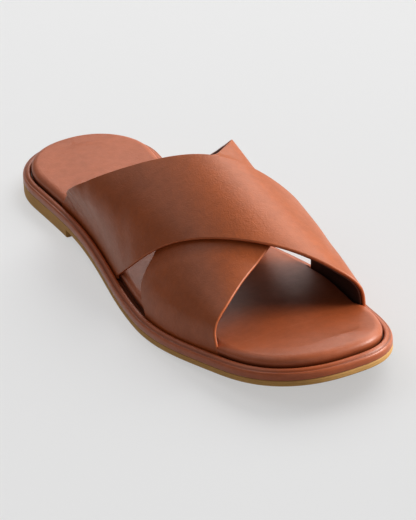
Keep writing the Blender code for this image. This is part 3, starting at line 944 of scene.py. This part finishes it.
def gum_material(name, tint):
    """Matt gum rubber: slightly clouded, specked, with fine mould lines along its side."""
    material, tree, place = new_material(name)
    cloud = noise(tree, place, 90.0, 4.0, 0.6)
    specks = noise(tree, place, 1800.0, 2.0)
    values = {"Vector": place, "Scale": 320.0, "Distortion": 0.6, "Detail": 1.0}
    lines = add_node(tree, "ShaderNodeTexWave", values, wave_type="BANDS", bands_direction="Z").outputs["Fac"]
    tone = blend_colours(tree, cloud, toned(tint), toned(tint, GUM_CLOUD))
    height = reckon(tree, "MULTIPLY_ADD", lines, 0.5, specks)
    # The gum is rubbed light on its lower edge and carries painted shade in the dark line under the rand
    set_inputs(tree, tree.nodes["Principled BSDF"], {
        "Base Color": edge_toned(tree, place, tone, toned(tint, GUM_WORN), toned(tint, GUM_PAINTED_SHADE), GUM_WEAR),
        "Roughness": spread(tree, specks, 0.0, 1.0, 0.52, 0.72),
        "Normal": bumped(tree, height, 0.7, GUM_BUMP),
        "Specular IOR Level": GUM_SPECULAR,
    })
    return material


def floor_material(name, tint):
    """Plain matt paper, very slightly uneven. It glows a little, but not onto what stands on it."""
    material, tree, place = new_material(name)
    diffuse_ray = add_node(tree, "ShaderNodeLightPath").outputs["Is Diffuse Ray"]
    cloud = noise(tree, place, 3.0, 2.0)
    set_inputs(tree, tree.nodes["Principled BSDF"], {
        "Base Color": blend_colours(tree, cloud, toned(tint), toned(tint, FLOOR_CLOUD)),
        "Roughness": 0.9,
        "Specular IOR Level": 0.1,
        "Emission Color": blend_colours(tree, diffuse_ray, (1.0, 1.0, 1.0, 1.0), (0.0, 0.0, 0.0, 1.0)),
        "Emission Strength": FLOOR_GLOW,
    })
    return material


# The stage

def lay_floor(tint):
    """A plain floor, just under the shoe."""
    mesh = bmesh.new()
    bmesh.ops.create_grid(mesh, x_segments=8, y_segments=8, size=FLOOR_HALF_WIDTH)
    floor = new_object("floor", mesh)
    floor.location.z = -FLOOR_GAP
    floor.data.materials.append(floor_material("studio floor", tint))
    return floor


def hang_light(scene, row):
    """A soft rectangular light that faces the shoe."""
    light = bpy.data.lights.new(row.name, "AREA")
    light.shape = "RECTANGLE"
    light.size = row.width
    light.size_y = row.height
    light.energy = row.watts
    lamp = bpy.data.objects.new(row.name, light)
    turn = math.radians(row.azimuth)
    lift = math.radians(row.elevation)
    flat = math.cos(lift) * row.distance
    away = Vector((math.sin(turn) * flat, math.cos(turn) * flat, math.sin(lift) * row.distance))
    lamp.location = LIGHTS_AIM + away
    lamp.rotation_euler = (-away).to_track_quat("-Z", "Y").to_euler()
    scene.collection.objects.link(lamp)
    return lamp


def set_world(scene):
    """A plain white surrounding."""
    world = bpy.data.worlds.new("studio")
    world.use_nodes = True
    values = {"Color": (1.0, 1.0, 1.0, 1.0), "Strength": WORLD_LIGHT}
    set_inputs(world.node_tree, world.node_tree.nodes["Background"], values)
    scene.world = world


def set_camera(scene):
    """The camera at the photograph's viewing angle."""
    back = Vector((
        math.sin(CAMERA_AZIMUTH) * math.cos(CAMERA_ELEVATION),
        -math.cos(CAMERA_AZIMUTH) * math.cos(CAMERA_ELEVATION),
        math.sin(CAMERA_ELEVATION),
    ))
    level = Vector((math.cos(CAMERA_AZIMUTH), math.sin(CAMERA_AZIMUTH), 0.0))
    upright = back.cross(level)
    right = level * math.cos(CAMERA_ROLL) + upright * math.sin(CAMERA_ROLL)
    up = upright * math.cos(CAMERA_ROLL) - level * math.sin(CAMERA_ROLL)
    lens = bpy.data.cameras.new("camera")
    lens.sensor_fit = "HORIZONTAL"
    lens.sensor_width = CAMERA_SENSOR
    lens.lens = CAMERA_LENS
    lens.clip_start = 0.01
    lens.clip_end = 50.0
    camera = bpy.data.objects.new("camera", lens)
    turn = Matrix((right, up, back)).transposed()
    camera.matrix_world = Matrix.Translation(CAMERA_AIM + back * CAMERA_DISTANCE) @ turn.to_4x4()
    scene.collection.objects.link(camera)
    scene.camera = camera


# One operator for each piece or group of like pieces

class SANDAL_OT_outsole(Operator):
    """Mould the gum outsole with its low heel"""

    bl_idname = "sandal.outsole"
    bl_label = "Gum outsole"

    def execute(self, context):
        last = Last(context.scene.sandal_sizes)
        rims = []
        for row in GUM_SECTION:
            level = last.gum_top if row.from_top else last.underside
            rims.append((last.rim(row.inset, level, row.height), row.wear, row.deep))
        piece = stacked_rims("outsole_gum", last, rims)
        piece.data.set_sharp_from_angle(angle=math.radians(50))
        piece.data.materials.append(gum_material("gum rubber", context.scene.sandal_colours.gum))
        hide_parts("outsole")
        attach(piece, "root")
        return {"FINISHED"}


class SANDAL_OT_midsole(Operator):
    """Wrap the midsole board in leather, with its rounded rand and its seam"""

    bl_idname = "sandal.midsole"
    bl_label = "Wrapped midsole"

    def execute(self, context):
        size = context.scene.sandal_sizes
        last = Last(size)

        def rand_line(base):
            def inset(along, side):
                seam = SEAM_DEPTH * math.exp(-((along - RAND_SEAM) / SEAM_WIDTH) ** 2)
                return base + (seam if side == MEDIAL else 0.0)

            return inset

        rims = []
        for row in RAND_SECTION:
            line = rand_line(row.inset * size.rand_width)
            height = row.height * (size.rand_height + CLEARANCE)
            rims.append((last.rim(line, last.rand_foot, height), row.wear, row.deep))
        # The wall down into the crease and the tray is fully in painted shade
        wall = size.rand_width - CLEARANCE
        rims.append((last.rim(wall, last.crease, -LIP_DEPTH), 0.0, 1.0))
        rims.append((last.rim(wall, last.tray_floor), 0.0, 1.0))
        piece = stacked_rims("rand_wrap", last, rims)
        piece.data.set_sharp_from_angle(angle=math.radians(65))
        material = leather_material("rand leather", context.scene.sandal_colours.rand, RAND_FINISH)
        piece.data.materials.append(material)
        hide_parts("midsole")
        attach(piece, "root")
        return {"FINISHED"}


class SANDAL_OT_footbed(Operator):
    """Lay the padded footbed in the tray, with its soft rolled edge"""

    bl_idname = "sandal.footbed"
    bl_label = "Padded footbed"

    def execute(self, context):
        size = context.scene.sandal_sizes
        last = Last(size)
        edge = size.rand_width + FOOTBED_GAP

        def side_line(lift, rolled=0.0, cut=0.0):
            relief = last.strap_relief(lift)

            def inset(along, side):
                foot = relief(along, side)
                top = size.footbed_round + last.strap_berth(along, side)
                return edge + foot + (top - foot) * rolled + cut

            return inset

        half_wall = 0.5 * size.footbed_wall
        # The low rims go down into the crease in painted shade; the rolled edge is lightened by rubbing and a
        # painted highlight
        rims = [
            (last.rim(side_line(0.0, cut=FOOTBED_CUT), last.tray_floor, CLEARANCE), 0.0, 1.0),
            (last.rim(side_line(0.0), last.tray_floor, CLEARANCE + FOOTBED_CUT), 0.0, 1.0),
            (last.rim(side_line(half_wall / last.footbed_height), last.crease, half_wall), 0.0, 0.5),
        ]
        for step in range(ROLL_STEPS + 1):
            turn = 0.5 * math.pi * step / ROLL_STEPS
            up = size.footbed_wall + size.footbed_roll * math.sin(turn)
            line = side_line(up / last.footbed_height, rolled=1.0 - math.cos(turn))
            rims.append((last.rim(line, last.crease, up), ROLL_RUB_AND_HIGHLIGHT * math.sin(2.0 * turn), 0.0))
        flat = size.rand_width + size.footbed_round + FOOTBED_FLAT
        rims.append((last.rim(flat, last.crease, last.footbed_height), 0.0, 0.0))
        piece = stacked_rims("footbed_pad", last, rims, crown=size.footbed_crown, columns=FOOTBED_COLUMNS)
        material = leather_material("footbed leather", context.scene.sandal_colours.footbed, FOOTBED_FINISH)
        piece.data.materials.append(material)
        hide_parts("footbed")
        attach(piece, "root")
        return {"FINISHED"}


class SANDAL_OT_straps(Operator):
    """Lay the two lined straps over the instep, one pressed under the other"""

    bl_idname = "sandal.straps"
    bl_label = "Crossed straps"

    def execute(self, context):
        size = context.scene.sandal_sizes
        colours = context.scene.sandal_colours
        last = Last(size)
        cover = strap_sheet(last, OVER_STRAP, overhang=OVERHANG_COLUMNS)
        over = [row[OVERHANG_COLUMNS:-OVERHANG_COLUMNS] for row in cover]
        under = strap_sheet(last, UNDER_STRAP)
        press_against(under, cover, last.strap_thickness + CROSSING_GAP)
        outer = leather_material("strap leather", colours.strap, STRAP_FINISH)
        # The lining's dark colour is painted shade
        inner = leather_material("lining leather", colours.lining, LINING_FINISH)
        for label, table, rows, creases in (
            ("under_strap", UNDER_STRAP, under, UNDER_CREASES),
            ("over_strap", OVER_STRAP, over, OVER_CREASES),
        ):
            sheet = press_creases(np.array(rows), creases)
            grid = np.concatenate((tuck(last, table[0], LATERAL)[::-1], sheet, tuck(last, table[-1], MEDIAL)))
            leather = band(label + "_leather", grid, 0.0, size.leather_thickness, 0.0)
            lining = band(label + "_lining", grid, size.leather_thickness + LAYER_GAP, size.lining_thickness,
                          LINING_INSET)
            for piece, material in ((leather, outer), (lining, inner)):
                piece.data.materials.append(material)
                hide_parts("upper")
                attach(piece, "root")
        return {"FINISHED"}


class SANDAL_OT_stage(Operator):
    """Set up the pale floor, the soft lights and the camera"""

    bl_idname = "sandal.stage"
    bl_label = "Floor, lights and camera"

    def execute(self, context):
        scene = context.scene
        floor = lay_floor(scene.sandal_colours.floor)
        spared = bpy.data.collections.new("spared by the key light")
        spared.objects.link(floor)
        spared.collection_objects[0].light_linking.link_state = "EXCLUDE"
        for row in SOFT_LIGHTS:
            lamp = hang_light(scene, row)
            if not row.lights_floor:
                lamp.light_linking.receiver_collection = spared
        set_world(scene)
        scene.view_settings.view_transform = "Standard"
        scene.view_settings.look = "Medium High Contrast"
        set_camera(scene)
        return {"FINISHED"}


PIECE_OPERATORS = (
    SANDAL_OT_outsole,
    SANDAL_OT_midsole,
    SANDAL_OT_footbed,
    SANDAL_OT_straps,
    SANDAL_OT_stage,
)


class SANDAL_PT_panel(Panel):
    bl_idname = "SANDAL_PT_panel"
    bl_label = "Cross strap sandal"
    bl_space_type = "VIEW_3D"
    bl_region_type = "UI"
    bl_category = "Sandal"

    def draw(self, context):
        layout = self.layout
        for operator in PIECE_OPERATORS:
            layout.operator(operator.bl_idname)
        for group in (context.scene.sandal_sizes, context.scene.sandal_colours):
            box = layout.box()
            for key in type(group).__annotations__:
                box.prop(group, key)


CLASSES = (SandalSizes, SandalColours) + PIECE_OPERATORS + (SANDAL_PT_panel,)


def register():
    for item in CLASSES:
        bpy.utils.register_class(item)
    bpy.types.Scene.sandal_sizes = PointerProperty(type=SandalSizes)
    bpy.types.Scene.sandal_colours = PointerProperty(type=SandalColours)


def unregister():
    del bpy.types.Scene.sandal_colours
    del bpy.types.Scene.sandal_sizes
    for item in reversed(CLASSES):
        bpy.utils.unregister_class(item)


def main():
    register()
    bpy.ops.sandal.outsole()
    bpy.ops.sandal.midsole()
    bpy.ops.sandal.footbed()
    bpy.ops.sandal.straps()
    bpy.ops.sandal.stage()


if __name__ == "__main__":
    main()
